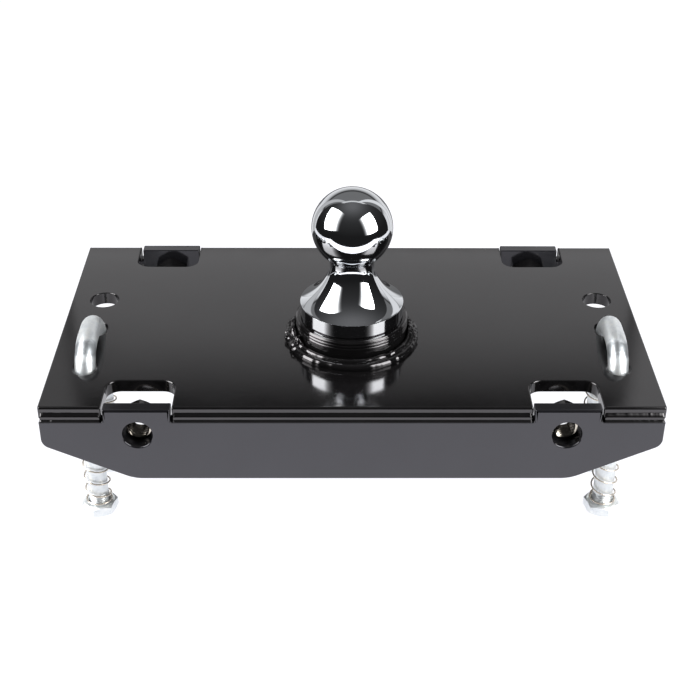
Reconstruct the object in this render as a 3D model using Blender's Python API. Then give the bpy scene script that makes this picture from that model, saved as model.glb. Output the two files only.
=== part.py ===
"""Under-bed gooseneck hitch head: a welded plate with a removable 2-5/16 in ball,
two spring-loaded safety-chain U-bolts and four welded rail nuts.

Frame: origin at the centre of the four rail bolts, +X to the vehicle's right,
+Y towards the cab, +Z up. Driving dimensions are in millimetres and are turned
into metres when a mesh is made.
"""
import math

import bmesh
import bpy
from mathutils import Matrix, Vector

MM = 0.001

# ---------------------------------------------------------------- dimensions
PLATE_T = 9.8            # top plate thickness
TOP_Z = 20.8             # top face of the top plate above the bolt centres
UNDER_Z = TOP_Z - PLATE_T
PLATE_LX = 436.0         # top plate length
PLATE_HY = 119.0         # half width of the top plate
SIDE_Y = 122.7           # outer faces of the side plates
SIDE_T = 9.8             # side plate thickness
SIDE_LX = 434.8          # side plate length
SIDE_BOTTOM_Z = -38.0    # lower edge of the side plates
SIDE_END_Z = -9.2        # where the tapered ends start
SIDE_FLAT_X = 154.8      # half length of the flat lower edge
TAB_X0, TAB_X1 = 126.0, 173.0
TAB_TOP_Z = TOP_Z
NOTCH_X0, NOTCH_X1 = 125.2, 174.3
NOTCH_Y = 84.9
NOTCH_R = 10.0
BOLT_X = 149.7           # rail bolt holes
BOLT_HOLE_R = 10.4
GAP = 0.3                # clearance between touching solids

NUT_AF = 25.0            # weld nuts
NUT_H = 14.7
NUT_BORE_R = 7.2

BALL_Y = -21.4           # ball axis, behind the plate's middle
BALL_R = 29.37           # 2-5/16 in ball
BALL_Z = TOP_Z + 89.5
NECK_R = 16.3
NECK_Z = TOP_Z + 61.0
RIM_R = 38.1             # 3 in seat
RIM_Z = TOP_Z + 29.7
SEAT_Z = TOP_Z + 18.4    # underside of the seat
SHANK_R = 31.75          # 2-1/2 in shank
SHANK_END_Z = TOP_Z - 77.0
GROOVE_R = 25.0
PIN_Z = TOP_Z - 51.5     # lock pin axis

SOCKET_R = 41.6          # receiver tube
SOCKET_BORE_R = 32.05
SOCKET_TOP_Z = SEAT_Z - GAP
SOCKET_END_Z = TOP_Z - 82.0
SOCKET_HOLE_R = 41.9     # hole in the top plate

CHAIN_X = 192.8          # safety-chain U-bolts
CHAIN_Y = -41.0
CHAIN_HALF = 28.2        # half the leg spacing
CHAIN_ROD_R = 7.5
CHAIN_BEND_R = 22.0
CHAIN_BEND_Z = TOP_Z - 10.0
CHAIN_END_Z = TOP_Z - 126.6
CHAIN_SLOT_W = 17.4
CHAIN_SLOT_OUT = 8.7
CHAIN_SLOT_IN = 11.9
CNUT_AF = 24.0
CNUT_TOP_Z = TOP_Z - 119.0
CNUT_H = 8.0
CNUT_BORE_R = 7.8

SPRING_R = 9.35          # chain springs, mean radius
SPRING_WIRE_R = 0.65
SPRING_TURNS = 9.0

HOLE_Y = 30.0            # pair of plain holes in the plate
HOLE_R = 11.0

PIN_R = 6.35             # lock pin
PIN_TIP_X = -26.5
PIN_END_X = -104.0
PIN_FLANGE_X0, PIN_FLANGE_X1 = -51.0, -47.0
PIN_FLANGE_R = 9.7
HOUSING_R = 14.0
HOUSING_BORE_R = 10.1
HOUSING_END_X = -82.0
CAP_T = 6.0


# ------------------------------------------------------------------- helpers
def clear_scene():
    for ob in list(bpy.data.objects):
        bpy.data.objects.remove(ob, do_unlink=True)


def material(name, colour, metallic, roughness):
    mat = bpy.data.materials.new(name)
    mat.use_nodes = True
    bsdf = mat.node_tree.nodes["Principled BSDF"]
    bsdf.inputs["Base Color"].default_value = (*colour, 1.0)
    bsdf.inputs["Metallic"].default_value = metallic
    bsdf.inputs["Roughness"].default_value = roughness
    mat.diffuse_color = (*colour, 1.0)
    return mat


def finish(name, bm, mat, origin=(0.0, 0.0, 0.0), smooth=True, parent=None):
    """Turn a bmesh in millimetres into an object whose origin is `origin`."""
    o = Vector(origin)
    for v in bm.verts:
        v.co = (v.co - o) * MM
    bmesh.ops.recalc_face_normals(bm, faces=bm.faces)
    me = bpy.data.meshes.new(name)
    bm.to_mesh(me)
    bm.free()
    me.materials.append(mat)
    if smooth:
        me.shade_smooth()
        me.set_sharp_from_angle(angle=math.radians(32.0))
    ob = bpy.data.objects.new(name, me)
    bpy.context.collection.objects.link(ob)
    ob.location = o * MM
    if parent is not None:
        ob.parent = parent
        ob.location = (o * MM) - parent.location
    return ob


def rounded(points, segs=6):
    """Corner list [(x, y, radius), ...] to a polygon with rounded corners."""
    out = []
    n = len(points)
    for i, (x, y, r) in enumerate(points):
        p = Vector((x, y))
        if r <= 0.0:
            out.append((p.x, p.y))
            continue
        a = (Vector(points[i - 1][:2]) - p).normalized()
        b = (Vector(points[(i + 1) % n][:2]) - p).normalized()
        half = a.angle(b) / 2.0
        reach = r / math.tan(half)
        centre = p + (a + b).normalized() * (r / math.sin(half))
        start = p + a * reach - centre
        end = p + b * reach - centre
        turn = start.angle_signed(end)
        for k in range(segs + 1):
            t = turn * k / segs
            c, s = math.cos(-t), math.sin(-t)
            out.append((centre.x + start.x * c - start.y * s,
                        centre.y + start.x * s + start.y * c))
    return out


def prism(points, lo, hi, plane="XY"):
    """Closed prism over a polygon, standing along the plane's normal."""
    bm = bmesh.new()

    def place(p, h):
        return (p[0], p[1], h) if plane == "XY" else (p[0], h, p[1])

    low = [bm.verts.new(place(p, lo)) for p in points]
    high = [bm.verts.new(place(p, hi)) for p in points]
    bm.faces.new(low)
    bm.faces.new(list(reversed(high)))
    n = len(points)
    for i in range(n):
        j = (i + 1) % n
        bm.faces.new((low[i], high[i], high[j], low[j]))
    return bm


def circle(cx, cy, r, n):
    return [(cx + r * math.cos(2 * math.pi * k / n), cy + r * math.sin(2 * math.pi * k / n))
            for k in range(n)]


def stadium(cx, y0, y1, width, n=12):
    """Slot outline along Y."""
    r = width / 2.0
    pts = []
    for k in range(n + 1):
        a = math.pi * k / n
        pts.append((cx + r * math.cos(a), y1 - r + r * math.sin(a)))
    for k in range(n + 1):
        a = math.pi + math.pi * k / n
        pts.append((cx + r * math.cos(a), y0 + r + r * math.sin(a)))
    return pts


def turned(profile, n, axis_xy=(0.0, 0.0)):
    """Body of revolution about Z from a closed (r, z) loop; r = 0 ends are poles."""
    bm = bmesh.new()
    rings = []
    for r, z in profile:
        if r < 1e-6:
            rings.append([bm.verts.new((axis_xy[0], axis_xy[1], z))])
        else:
            rings.append([bm.verts.new((axis_xy[0] + r * math.cos(2 * math.pi * k / n),
                                        axis_xy[1] + r * math.sin(2 * math.pi * k / n), z))
                          for k in range(n)])
    closed = len(rings[0]) > 1
    pairs = [(i, i + 1) for i in range(len(rings) - 1)]
    if closed:
        pairs.append((len(rings) - 1, 0))
    for i, j in pairs:
        a, b = rings[i], rings[j]
        for k in range(n):
            m = (k + 1) % n
            if len(a) == 1 and len(b) == 1:
                continue
            if len(a) == 1:
                bm.faces.new((a[0], b[m], b[k]))
            elif len(b) == 1:
                bm.faces.new((a[k], a[m], b[0]))
            else:
                bm.faces.new((a[k], a[m], b[m], b[k]))
    return bm


def tube_along(path, r, n):
    """Round bar along a list of points, with flat ends."""
    bm = bmesh.new()
    rings = []
    pts = [Vector(p) for p in path]
    ref = None
    for i, p in enumerate(pts):
        if i == 0:
            t = (pts[1] - pts[0]).normalized()
        elif i == len(pts) - 1:
            t = (pts[-1] - pts[-2]).normalized()
        else:
            t = ((pts[i + 1] - p).normalized() + (p - pts[i - 1]).normalized()).normalized()
        if ref is None:
            ref = t.orthogonal().normalized()
        ref = (ref - t * ref.dot(t)).normalized()
        side = t.cross(ref)
        rings.append([bm.verts.new(p + ref * (r * math.cos(2 * math.pi * k / n))
                                   + side * (r * math.sin(2 * math.pi * k / n)))
                      for k in range(n)])
    bm.faces.new(list(reversed(rings[0])))
    bm.faces.new(rings[-1])
    for a, b in zip(rings, rings[1:]):
        for k in range(n):
            m = (k + 1) % n
            bm.faces.new((a[k], a[m], b[m], b[k]))
    return bm


def hex_nut(af, h, bore_r, n=24, chamfer=1.1):
    """Hexagon nut standing on Z from 0 to h, corners on +-X, open bore."""
    rc = af / math.sqrt(3.0)
    profile_hex = [(rc * math.cos(math.pi * k / 3), rc * math.sin(math.pi * k / 3))
                   for k in range(6)]
    # each side gets three points, so that the chamfered corners can drop
    outer = []
    for k in range(6):
        a, b = Vector(profile_hex[k]), Vector(profile_hex[(k + 1) % 6])
        for t in (0.0, 0.25, 0.5, 0.75):
            outer.append(a.lerp(b, t))
    flat_r = af / 2.0 * 0.985
    bm = bmesh.new()
    levels = []
    for z, top in ((0.0, -1), (None, -1), (None, 1), (h, 1)):
        ring = []
        for p in outer:
            d = p.length
            drop = chamfer * max(0.0, (d - flat_r)) / (rc - flat_r)
            if z is None:
                zz = drop if top < 0 else h - drop
                ring.append(bm.verts.new((p.x, p.y, max(0.05, min(h - 0.05, zz)) if drop < 0.05 else zz)))
            else:
                q = p * (flat_r / d)
                ring.append(bm.verts.new((q.x, q.y, z)))
        levels.append(ring)
    inner_low = [bm.verts.new((bore_r * math.cos(2 * math.pi * k / n),
                               bore_r * math.sin(2 * math.pi * k / n), 0.0)) for k in range(n)]
    inner_high = [bm.verts.new((v.co.x, v.co.y, h)) for v in inner_low]
    levels = [inner_low] + levels + [inner_high]
    m = len(outer)
    for a, b in zip(levels, levels[1:] + levels[:1]):
        for k in range(m):
            j = (k + 1) % m
            bm.faces.new((a[k], a[j], b[j], b[k]))
    return bm


def helix(mean_r, wire_r, z0, z1, active, centre, per_turn=8, sides=4):
    """Compression spring from z0 up to z1 with a closed coil at each end."""
    lo, hi = z0 + wire_r, z1 - wire_r
    closed_rise = 2.0 * wire_r * 1.06
    total = active + 2.0
    steps = int(total * per_turn)
    pitch = (hi - lo - 2.0 * closed_rise) / active
    path = []
    for i in range(steps + 1):
        t = total * i / steps
        if t < 1.0:
            z = lo + closed_rise * t
        elif t > total - 1.0:
            z = hi - closed_rise * (total - t)
        else:
            z = lo + closed_rise + pitch * (t - 1.0)
        a = 2.0 * math.pi * t
        path.append((centre[0] + mean_r * math.cos(a), centre[1] + mean_r * math.sin(a), z))
    return tube_along(path, wire_r, sides)


def cutter(name, bm):
    bmesh.ops.recalc_face_normals(bm, faces=bm.faces)
    for v in bm.verts:
        v.co = v.co * MM
    me = bpy.data.meshes.new(name)
    bm.to_mesh(me)
    bm.free()
    ob = bpy.data.objects.new(name, me)
    bpy.context.collection.objects.link(ob)
    ob.hide_render = True
    ob.display_type = "WIRE"
    return ob


def cut(target, name, bm):
    tool = cutter(name, bm)
    mod = target.modifiers.new(name, "BOOLEAN")
    mod.operation = "DIFFERENCE"
    mod.solver = "EXACT"
    mod.object = tool
    return tool


def rotated(bm, matrix):
    bmesh.ops.transform(bm, matrix=matrix, verts=bm.verts)
    return bm


# --------------------------------------------------------------------- build
clear_scene()

BLACK = (0.012, 0.012, 0.014)
ZINC = (0.72, 0.74, 0.76)
CHROME = (0.80, 0.81, 0.83)
STEEL = (0.42, 0.42, 0.44)


def black(name):
    return material(name, BLACK, 0.0, 0.28)


def zinc(name):
    return material(name, ZINC, 1.0, 0.26)


# top plate: four rounded notches for the side plates' tabs
corner = []
hx, hy = PLATE_LX / 2.0, PLATE_HY
for x, y, r in ((-hx, -hy, 1.5),
                (-NOTCH_X1, -hy, 0.0), (-NOTCH_X1, -NOTCH_Y, NOTCH_R),
                (-NOTCH_X0, -NOTCH_Y, NOTCH_R), (-NOTCH_X0, -hy, 0.0),
                (NOTCH_X0, -hy, 0.0), (NOTCH_X0, -NOTCH_Y, NOTCH_R),
                (NOTCH_X1, -NOTCH_Y, NOTCH_R), (NOTCH_X1, -hy, 0.0),
                (hx, -hy, 1.5), (hx, hy, 1.5),
                (NOTCH_X1, hy, 0.0), (NOTCH_X1, NOTCH_Y, NOTCH_R),
                (NOTCH_X0, NOTCH_Y, NOTCH_R), (NOTCH_X0, hy, 0.0),
                (-NOTCH_X0, hy, 0.0), (-NOTCH_X0, NOTCH_Y, NOTCH_R),
                (-NOTCH_X1, NOTCH_Y, NOTCH_R), (-NOTCH_X1, hy, 0.0),
                (-hx, hy, 1.5)):
    corner.append((x, y, r))
top_plate = finish("top_plate", prism(rounded(corner), UNDER_Z, TOP_Z), black("top_plate"))
LOW, HIGH = UNDER_Z - 5.0, TOP_Z + 5.0
cut(top_plate, "cut_socket_hole", prism(circle(0.0, BALL_Y, SOCKET_HOLE_R, 48), LOW, HIGH))
for side, sx in (("left", -1.0), ("right", 1.0)):
    fy = CHAIN_Y - CHAIN_HALF
    ry = CHAIN_Y + CHAIN_HALF
    cut(top_plate, "cut_chain_front_" + side,
        prism(stadium(sx * CHAIN_X, fy - CHAIN_SLOT_OUT, fy + CHAIN_SLOT_IN, CHAIN_SLOT_W), LOW, HIGH))
    cut(top_plate, "cut_chain_rear_" + side,
        prism(stadium(sx * CHAIN_X, ry - CHAIN_SLOT_IN, ry + CHAIN_SLOT_OUT, CHAIN_SLOT_W), LOW, HIGH))
    cut(top_plate, "cut_plain_hole_" + side, prism(circle(sx * CHAIN_X, HOLE_Y, HOLE_R, 32), LOW, HIGH))

# side plates: tapered ends, two tabs that stand up through the notches
for name, sy in (("front", -1.0), ("rear", 1.0)):
    ex = SIDE_LX / 2.0
    top = UNDER_Z - GAP
    loop = [(-SIDE_FLAT_X, SIDE_BOTTOM_Z, 30.0), (SIDE_FLAT_X, SIDE_BOTTOM_Z, 30.0),
            (ex, SIDE_END_Z, 8.0), (ex, top, 0.6),
            (TAB_X1, top, 0.0), (TAB_X1, TAB_TOP_Z, 0.6), (TAB_X0, TAB_TOP_Z, 0.6), (TAB_X0, top, 0.0),
            (-TAB_X0, top, 0.0), (-TAB_X0, TAB_TOP_Z, 0.6), (-TAB_X1, TAB_TOP_Z, 0.6), (-TAB_X1, top, 0.0),
            (-ex, top, 0.6), (-ex, SIDE_END_Z, 8.0)]
    y0, y1 = sorted((sy * SIDE_Y, sy * (SIDE_Y - SIDE_T)))
    plate = finish(name + "_side_plate", prism(rounded(loop, 5), y0, y1, "XZ"),
                   black(name + "_side_plate"))
    for side, sx in (("left", -1.0), ("right", 1.0)):
        cut(plate, "cut_bolt_" + name + "_" + side,
            prism(circle(sx * BOLT_X, 0.0, BOLT_HOLE_R, 32), y0 - 5.0, y1 + 5.0, "XZ"))
        # weld nut on the inner face, one corner up
        bm = hex_nut(NUT_AF, NUT_H, NUT_BORE_R)
        rotated(bm, Matrix.Rotation(math.radians(90.0), 4, "Z"))
        rotated(bm, Matrix.Rotation(math.radians(90.0 * -sy * -1.0), 4, "X"))
        inner = sy * (SIDE_Y - SIDE_T - GAP)
        rotated(bm, Matrix.Translation((sx * BOLT_X, inner, 0.0)))
        finish("weld_nut_" + name + "_" + side, bm, black("weld_nut_" + name + "_" + side))

# seam welds in the ledge between the top plate's edge and each side plate
for name, sy in (("front", -1.0), ("rear", 1.0)):
    y_in, y_out = PLATE_HY + GAP, SIDE_Y - 0.2
    z_low, z_high = UNDER_Z + 0.1, TOP_Z - 2.2
    section = [(y_in, z_low), (y_out, z_low), (y_out - 0.15, z_low + 1.4), (y_out - 1.1, z_low + 3.6),
               (y_out - 2.3, z_low + 5.9), (y_in, z_high)]
    for part, x0, x1 in (("left", -SIDE_LX / 2 + 1.0, -NOTCH_X1 - 1.0), ("middle", -NOTCH_X0 + 1.0, NOTCH_X0 - 1.0),
                         ("right", NOTCH_X1 + 1.0, SIDE_LX / 2 - 1.0)):
        bm = bmesh.new()
        ends = []
        for x in (x0, x1):
            ends.append([bm.verts.new((x, sy * p[0], p[1])) for p in section])
        bm.faces.new(ends[0])
        bm.faces.new(list(reversed(ends[1])))
        for i in range(len(section)):
            j = (i + 1) % len(section)
            bm.faces.new((ends[0][i], ends[1][i], ends[1][j], ends[0][j]))
        finish("seam_weld_" + name + "_" + part, bm, black("seam_weld_" + name + "_" + part))

# receiver tube with a relieved mouth
socket_profile = [(SOCKET_BORE_R, SOCKET_END_Z), (SOCKET_R, SOCKET_END_Z),
                  (SOCKET_R, SOCKET_TOP_Z - 6.4), (SOCKET_R - 0.7, SOCKET_TOP_Z - 5.8),
                  (SOCKET_R - 0.7, SOCKET_TOP_Z - 4.6), (SOCKET_R, SOCKET_TOP_Z - 4.0),
                  (SOCKET_R, SOCKET_TOP_Z - 1.5), (SOCKET_R - 1.5, SOCKET_TOP_Z),
                  (SOCKET_BORE_R + 0.8, SOCKET_TOP_Z), (SOCKET_BORE_R, SOCKET_TOP_Z - 0.8)]
receiver = finish("receiver_tube", turned(socket_profile, 40, (0.0, BALL_Y)), black("receiver_tube"))
pin_axis = Matrix.Translation((0.0, BALL_Y, PIN_Z)) @ Matrix.Rotation(math.radians(-90.0), 4, "Y")
cut(receiver, "cut_pin_bore", rotated(prism(circle(0.0, 0.0, PIN_R + 0.25, 24), 20.0, 60.0), pin_axis))

# fillet welds around the tube, above and below the plate
ring = [(SOCKET_R + GAP, TOP_Z + 0.3), (SOCKET_R + 8.6, TOP_Z + 0.3), (SOCKET_R + 8.2, TOP_Z + 1.4),
        (SOCKET_R + 5.0, TOP_Z + 4.6), (SOCKET_R + 1.6, TOP_Z + 7.4), (SOCKET_R + GAP, TOP_Z + 8.0)]
finish("collar_weld_upper", turned(ring, 36, (0.0, BALL_Y)), black("collar_weld_upper"))
ring = [(SOCKET_R + GAP, UNDER_Z - 7.3), (SOCKET_R + 1.2, UNDER_Z - 6.6), (SOCKET_R + 4.0, UNDER_Z - 3.6),
        (SOCKET_R + 7.0, UNDER_Z - 0.9), (SOCKET_R + 7.2, UNDER_Z - 0.3), (SOCKET_R + GAP, UNDER_Z - 0.3)]
finish("collar_weld_lower", turned(ring, 36, (0.0, BALL_Y)), black("collar_weld_lower"))

# lock pin housing on the tube's left side, with a screwed end cap
seat_x = SOCKET_R + GAP
bm = bmesh.new()
n = 32
near, far = [], []
for k in range(n):
    a = 2.0 * math.pi * k / n
    for r, store in ((HOUSING_R, near), (HOUSING_BORE_R, far)):
        dy, dz = r * math.cos(a), r * math.sin(a)
        x = -math.sqrt(seat_x ** 2 - dy ** 2)      # saddle that follows the tube
        store.append((bm.verts.new((x, BALL_Y + dy, PIN_Z + dz)),
                      bm.verts.new((HOUSING_END_X, BALL_Y + dy, PIN_Z + dz))))
for k in range(n):
    j = (k + 1) % n
    bm.faces.new((near[k][0], near[j][0], near[j][1], near[k][1]))
    bm.faces.new((far[k][0], far[k][1], far[j][1], far[j][0]))
    bm.faces.new((near[k][0], far[k][0], far[j][0], near[j][0]))
    bm.faces.new((near[k][1], near[j][1], far[j][1], far[k][1]))
finish("lock_pin_housing", bm, black("lock_pin_housing"))
cap = [(PIN_R + 0.3, 0.0), (HOUSING_BORE_R - GAP, 0.0), (HOUSING_BORE_R - GAP, CAP_T - 0.3),
       (HOUSING_R - 1.0, CAP_T - 0.3), (HOUSING_R - 1.0, CAP_T + 2.6), (HOUSING_R - 2.0, CAP_T + 3.6),
       (PIN_R + 0.3, CAP_T + 3.6)]
cap_bm = turned([(r, z) for r, z in cap], 32)
rotated(cap_bm, Matrix.Translation((HOUSING_END_X + CAP_T - 0.6, BALL_Y, PIN_Z))
        @ Matrix.Rotation(math.radians(-90.0), 4, "Y"))
finish("lock_pin_cap", cap_bm, zinc("lock_pin_cap"))
CAP_INNER_X = HOUSING_END_X + CAP_T - 0.6

# lock pin: slides along X, its tip sits in the shank's groove
pin_frame = bpy.data.objects.new("lock_pin_axis", None)
pin_frame.location = Vector((PIN_FLANGE_X0, BALL_Y, PIN_Z)) * MM
bpy.context.collection.objects.link(pin_frame)
pin = [(0.0, -PIN_TIP_X), (PIN_R - 1.6, -PIN_TIP_X), (PIN_R, -PIN_TIP_X + 1.6),
       (PIN_R, -PIN_FLANGE_X1), (PIN_FLANGE_R, -PIN_FLANGE_X1), (PIN_FLANGE_R, -PIN_FLANGE_X0),
       (PIN_R, -PIN_FLANGE_X0), (PIN_R, -PIN_END_X - 1.0), (PIN_R - 1.0, -PIN_END_X), (0.0, -PIN_END_X)]
pin_bm = turned(pin, 28)
rotated(pin_bm, pin_axis)
lock_pin = finish("lock_pin", pin_bm, zinc("lock_pin"), (PIN_FLANGE_X0, BALL_Y, PIN_Z), parent=pin_frame)
eye = rotated(prism(circle(0.0, 0.0, 2.6, 16), -20.0, 20.0),
              Matrix.Translation((PIN_END_X + 6.5, BALL_Y, PIN_Z)))
cut(lock_pin, "cut_pin_eye", eye)

spring_bm = helix(8.6, 0.9, -PIN_FLANGE_X0 + GAP, -CAP_INNER_X - GAP, 4.0, (0.0, 0.0), 9, 4)
rotated(spring_bm, pin_axis)
finish("lock_spring", spring_bm, zinc("lock_spring"))


# hitch ball: ball, neck, flared seat and grooved shank, turned about its axis
def ball_profile():
    pts = [(0.0, BALL_Z + BALL_R)]
    join = math.asin((NECK_R + 0.35) / BALL_R)
    last = math.pi - join
    count = 14
    for k in range(1, count + 1):
        a = last * k / count
        pts.append((BALL_R * math.sin(a), BALL_Z + BALL_R * math.cos(a)))
    # flare: a short fillet off the neck, then one hollow arc of 39.5 mm radius down to the rim
    pts.append((NECK_R, NECK_Z))
    top = Vector((NECK_R + 0.24, NECK_Z - 2.7))
    a0, a1 = math.radians(10.0), math.radians(64.0)
    reach = (RIM_R - top.x) / (math.cos(a0) - math.cos(a1))
    drop = (top.y - RIM_Z) / (math.sin(a1) - math.sin(a0))
    for k in range(0, 9):
        a = a0 + (a1 - a0) * k / 8.0
        pts.append((top.x + reach * (math.cos(a0) - math.cos(a)), top.y - drop * (math.sin(a) - math.sin(a0))))
    half = 7.0
    pts += [(RIM_R, SEAT_Z + 0.8), (RIM_R - 0.8, SEAT_Z), (SHANK_R, SEAT_Z),
            (SHANK_R, PIN_Z + half), (GROOVE_R, PIN_Z + half - 1.0), (GROOVE_R, PIN_Z - half + 1.0),
            (SHANK_R, PIN_Z - half), (SHANK_R, SHANK_END_Z + 4.0), (SHANK_R - 4.0, SHANK_END_Z),
            (0.0, SHANK_END_Z)]
    return pts


finish("hitch_ball", turned(ball_profile(), 32, (0.0, BALL_Y)),
       material("hitch_ball", CHROME, 1.0, 0.05), (0.0, BALL_Y, BALL_Z))

# safety-chain U-bolts, their nuts and springs
for side, sx in (("left", -1.0), ("right", 1.0)):
    cx = sx * CHAIN_X
    frame = bpy.data.objects.new("chain_loop_axis_" + side, None)
    frame.location = Vector((cx, CHAIN_Y, TOP_Z)) * MM
    bpy.context.collection.objects.link(frame)
    path = [(cx, CHAIN_Y - CHAIN_HALF, CHAIN_END_Z), (cx, CHAIN_Y - CHAIN_HALF, CHAIN_BEND_Z - 30.0)]
    for k in range(9):
        a = math.pi / 2.0 * k / 8
        path.append((cx, CHAIN_Y - CHAIN_HALF + CHAIN_BEND_R * (1 - math.cos(a)),
                     CHAIN_BEND_Z + CHAIN_BEND_R * math.sin(a)))
    for k in range(9):
        a = math.pi / 2.0 * (1 - k / 8)
        path.append((cx, CHAIN_Y + CHAIN_HALF - CHAIN_BEND_R * (1 - math.cos(a)),
                     CHAIN_BEND_Z + CHAIN_BEND_R * math.sin(a)))
    path += [(cx, CHAIN_Y + CHAIN_HALF, CHAIN_BEND_Z - 30.0), (cx, CHAIN_Y + CHAIN_HALF, CHAIN_END_Z)]
    finish("chain_u_bolt_" + side, tube_along(path, CHAIN_ROD_R, 12), zinc("chain_u_bolt_" + side),
           (cx, CHAIN_Y, TOP_Z), parent=frame)
    for end, ey in (("front", -CHAIN_HALF), ("rear", CHAIN_HALF)):
        bm = hex_nut(CNUT_AF, CNUT_H, CNUT_BORE_R)
        rotated(bm, Matrix.Rotation(math.radians(30.0 + 14.0 * sx), 4, "Z"))
        rotated(bm, Matrix.Translation((cx, CHAIN_Y + ey, CNUT_TOP_Z - CNUT_H)))
        label = end + "_" + side
        finish("chain_nut_" + label, bm, zinc("chain_nut_" + label), (cx, CHAIN_Y, TOP_Z), parent=frame)
        bm = helix(SPRING_R, SPRING_WIRE_R, CNUT_TOP_Z + GAP, UNDER_Z - GAP, SPRING_TURNS,
                   (cx, CHAIN_Y + ey))
        finish("chain_spring_" + label, bm, zinc("chain_spring_" + label))
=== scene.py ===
"""Looks of the gooseneck hitch head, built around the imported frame."""

import math

import bmesh
import bpy
from mathutils import Matrix, Vector, noise
from mathutils.geometry import tessellate_polygon


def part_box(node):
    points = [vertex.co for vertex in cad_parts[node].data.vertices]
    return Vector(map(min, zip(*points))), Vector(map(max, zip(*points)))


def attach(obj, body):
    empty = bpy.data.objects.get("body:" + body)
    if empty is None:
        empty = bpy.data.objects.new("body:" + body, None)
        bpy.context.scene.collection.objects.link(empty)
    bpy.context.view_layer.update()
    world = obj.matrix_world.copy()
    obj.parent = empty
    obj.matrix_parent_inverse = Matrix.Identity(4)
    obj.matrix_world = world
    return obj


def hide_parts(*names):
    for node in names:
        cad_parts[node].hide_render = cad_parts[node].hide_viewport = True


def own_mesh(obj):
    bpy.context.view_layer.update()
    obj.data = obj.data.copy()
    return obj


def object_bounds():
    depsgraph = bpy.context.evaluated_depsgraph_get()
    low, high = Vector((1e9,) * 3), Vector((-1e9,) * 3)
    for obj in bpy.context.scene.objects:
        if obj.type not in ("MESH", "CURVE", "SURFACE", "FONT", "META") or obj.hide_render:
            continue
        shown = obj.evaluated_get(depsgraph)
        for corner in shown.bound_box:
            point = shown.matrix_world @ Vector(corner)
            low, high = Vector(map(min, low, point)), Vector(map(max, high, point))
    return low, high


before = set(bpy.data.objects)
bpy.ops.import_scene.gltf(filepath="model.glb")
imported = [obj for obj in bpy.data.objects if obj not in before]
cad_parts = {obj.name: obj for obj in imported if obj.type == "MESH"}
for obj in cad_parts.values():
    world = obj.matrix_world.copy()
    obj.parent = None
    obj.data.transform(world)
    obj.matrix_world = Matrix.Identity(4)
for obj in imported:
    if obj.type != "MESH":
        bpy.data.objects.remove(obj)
CAD_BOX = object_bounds()
MM = 0.001
FRAME_BODY = "hitch_frame"


# ------------------------------------------------------------- measured frame
def span(node):
    lo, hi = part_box(node)
    return [c / MM for c in lo], [c / MM for c in hi]


plate_lo, plate_hi = span("top_plate")
side_lo, side_hi = span("front_side_plate")
ball_lo, ball_hi = span("hitch_ball")
tube_lo, tube_hi = span("receiver_tube")
TOP, UNDER = plate_hi[2], plate_lo[2]
BALL_Y = 0.5 * (ball_lo[1] + ball_hi[1])
HX, HY = plate_hi[0], plate_hi[1]
SIDE_Y = -side_lo[1]
SIDE_IN = -side_hi[1]
SIDE_HX = side_hi[0]
SIDE_BOTTOM = side_lo[2]
TAB_TOP = side_hi[2]
BOLT_X = 149.7
NOTCH_X0, NOTCH_X1, NOTCH_Y = 125.2, 174.3, 84.9
CHAIN_X, CHAIN_Y, CHAIN_HALF = 192.8, -41.0, 28.2
TUBE_R = 0.5 * (tube_hi[0] - tube_lo[0])


# --------------------------------------------------------------- mesh helpers
def make(name, bm, mat, body=FRAME_BODY, replace=None, normals=None, sharp=None):
    for v in bm.verts:
        v.co *= MM
    bmesh.ops.recalc_face_normals(bm, faces=bm.faces)
    me = bpy.data.meshes.new(name)
    bm.to_mesh(me)
    bm.free()
    me.materials.append(mat)
    me.shade_smooth()
    if sharp is not None:
        me.set_sharp_from_angle(angle=math.radians(sharp))
    if normals is not None:
        me.normals_split_custom_set_from_vertices(normals)
    ob = bpy.data.objects.new(name, me)
    bpy.context.scene.collection.objects.link(ob)
    if replace:
        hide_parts(*replace)
    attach(ob, body)
    return ob


def rounded(points, segs=10):
    out = []
    n = len(points)
    for i, (x, y, r) in enumerate(points):
        p = Vector((x, y))
        if r <= 0.0:
            out.append((p.x, p.y))
            continue
        a = (Vector(points[i - 1][:2]) - p).normalized()
        b = (Vector(points[(i + 1) % n][:2]) - p).normalized()
        half = a.angle(b) / 2.0
        reach = r / math.tan(half)
        centre = p + (a + b).normalized() * (r / math.sin(half))
        start = p + a * reach - centre
        end = p + b * reach - centre
        turn = start.angle_signed(end)
        for k in range(segs + 1):
            t = -turn * k / segs
            c, s = math.cos(t), math.sin(t)
            out.append((centre.x + start.x * c - start.y * s, centre.y + start.x * s + start.y * c))
    return out


def circle(cx, cy, r, n=96):
    return [(cx + r * math.cos(2 * math.pi * k / n), cy + r * math.sin(2 * math.pi * k / n)) for k in range(n)]


def stadium(cx, y0, y1, width, n=28):
    r = width / 2.0
    pts = [(cx + r * math.cos(math.pi * k / n), y1 - r + r * math.sin(math.pi * k / n)) for k in range(n + 1)]
    pts += [(cx + r * math.cos(math.pi + math.pi * k / n), y0 + r + r * math.sin(math.pi + math.pi * k / n))
            for k in range(n + 1)]
    return pts


def area(pts):
    return 0.5 * sum(pts[i - 1][0] * pts[i][1] - pts[i][0] * pts[i - 1][1] for i in range(len(pts)))


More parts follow.
